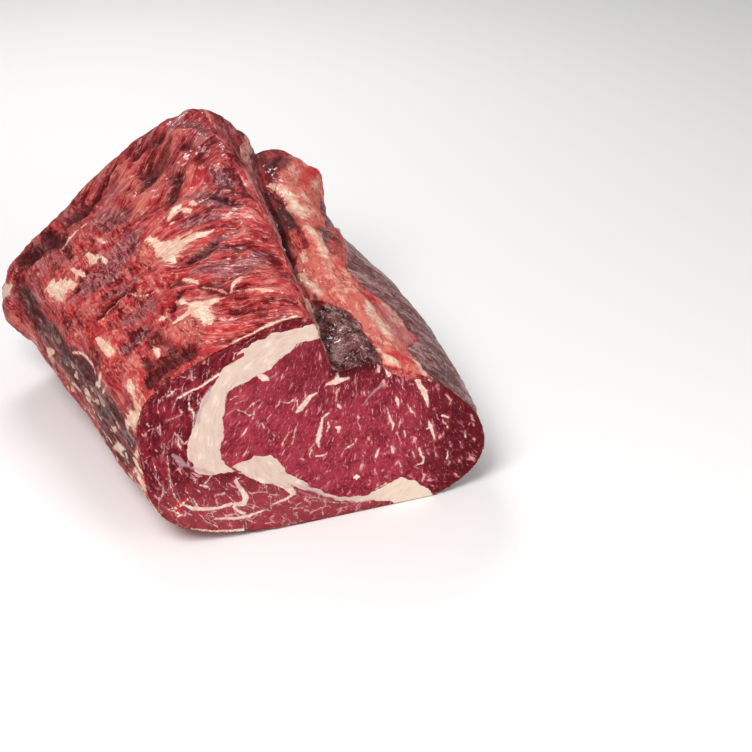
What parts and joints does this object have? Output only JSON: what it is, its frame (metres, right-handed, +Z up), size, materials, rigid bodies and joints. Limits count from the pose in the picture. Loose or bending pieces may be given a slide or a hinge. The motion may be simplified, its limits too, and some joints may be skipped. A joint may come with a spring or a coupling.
{
  "type": "beef rib roast",
  "caption": "Boneless beef rib roast, raw, cut flat at one end, with a marbled eye, a thick layer of fat round it and a dark, dry outside.",
  "frame": {"origin": "on the ground, under the middle of the roast's bounding box", "axes": "+Z up, +Y along the roast from its cut face to its far end, +X across it to the right of someone who faces the cut"},
  "size_m": [0.2312, 0.2446, 0.1557],
  "materials": {
    "eye_lean": null,
    "cap_lean": "darker raw lean, dried and fibrous on the outside",
    "white_fat": "firm creamy fat, slightly waxy",
    "chine_fat": "soft pink fat with scraps of lean"
  },
  "bodies": {
    "root": {"eye_muscle": "eye_lean", "cap_muscle": "cap_lean", "fat_layer": "white_fat", "chine_fat": "chine_fat"}
  },
  "joints": []
}
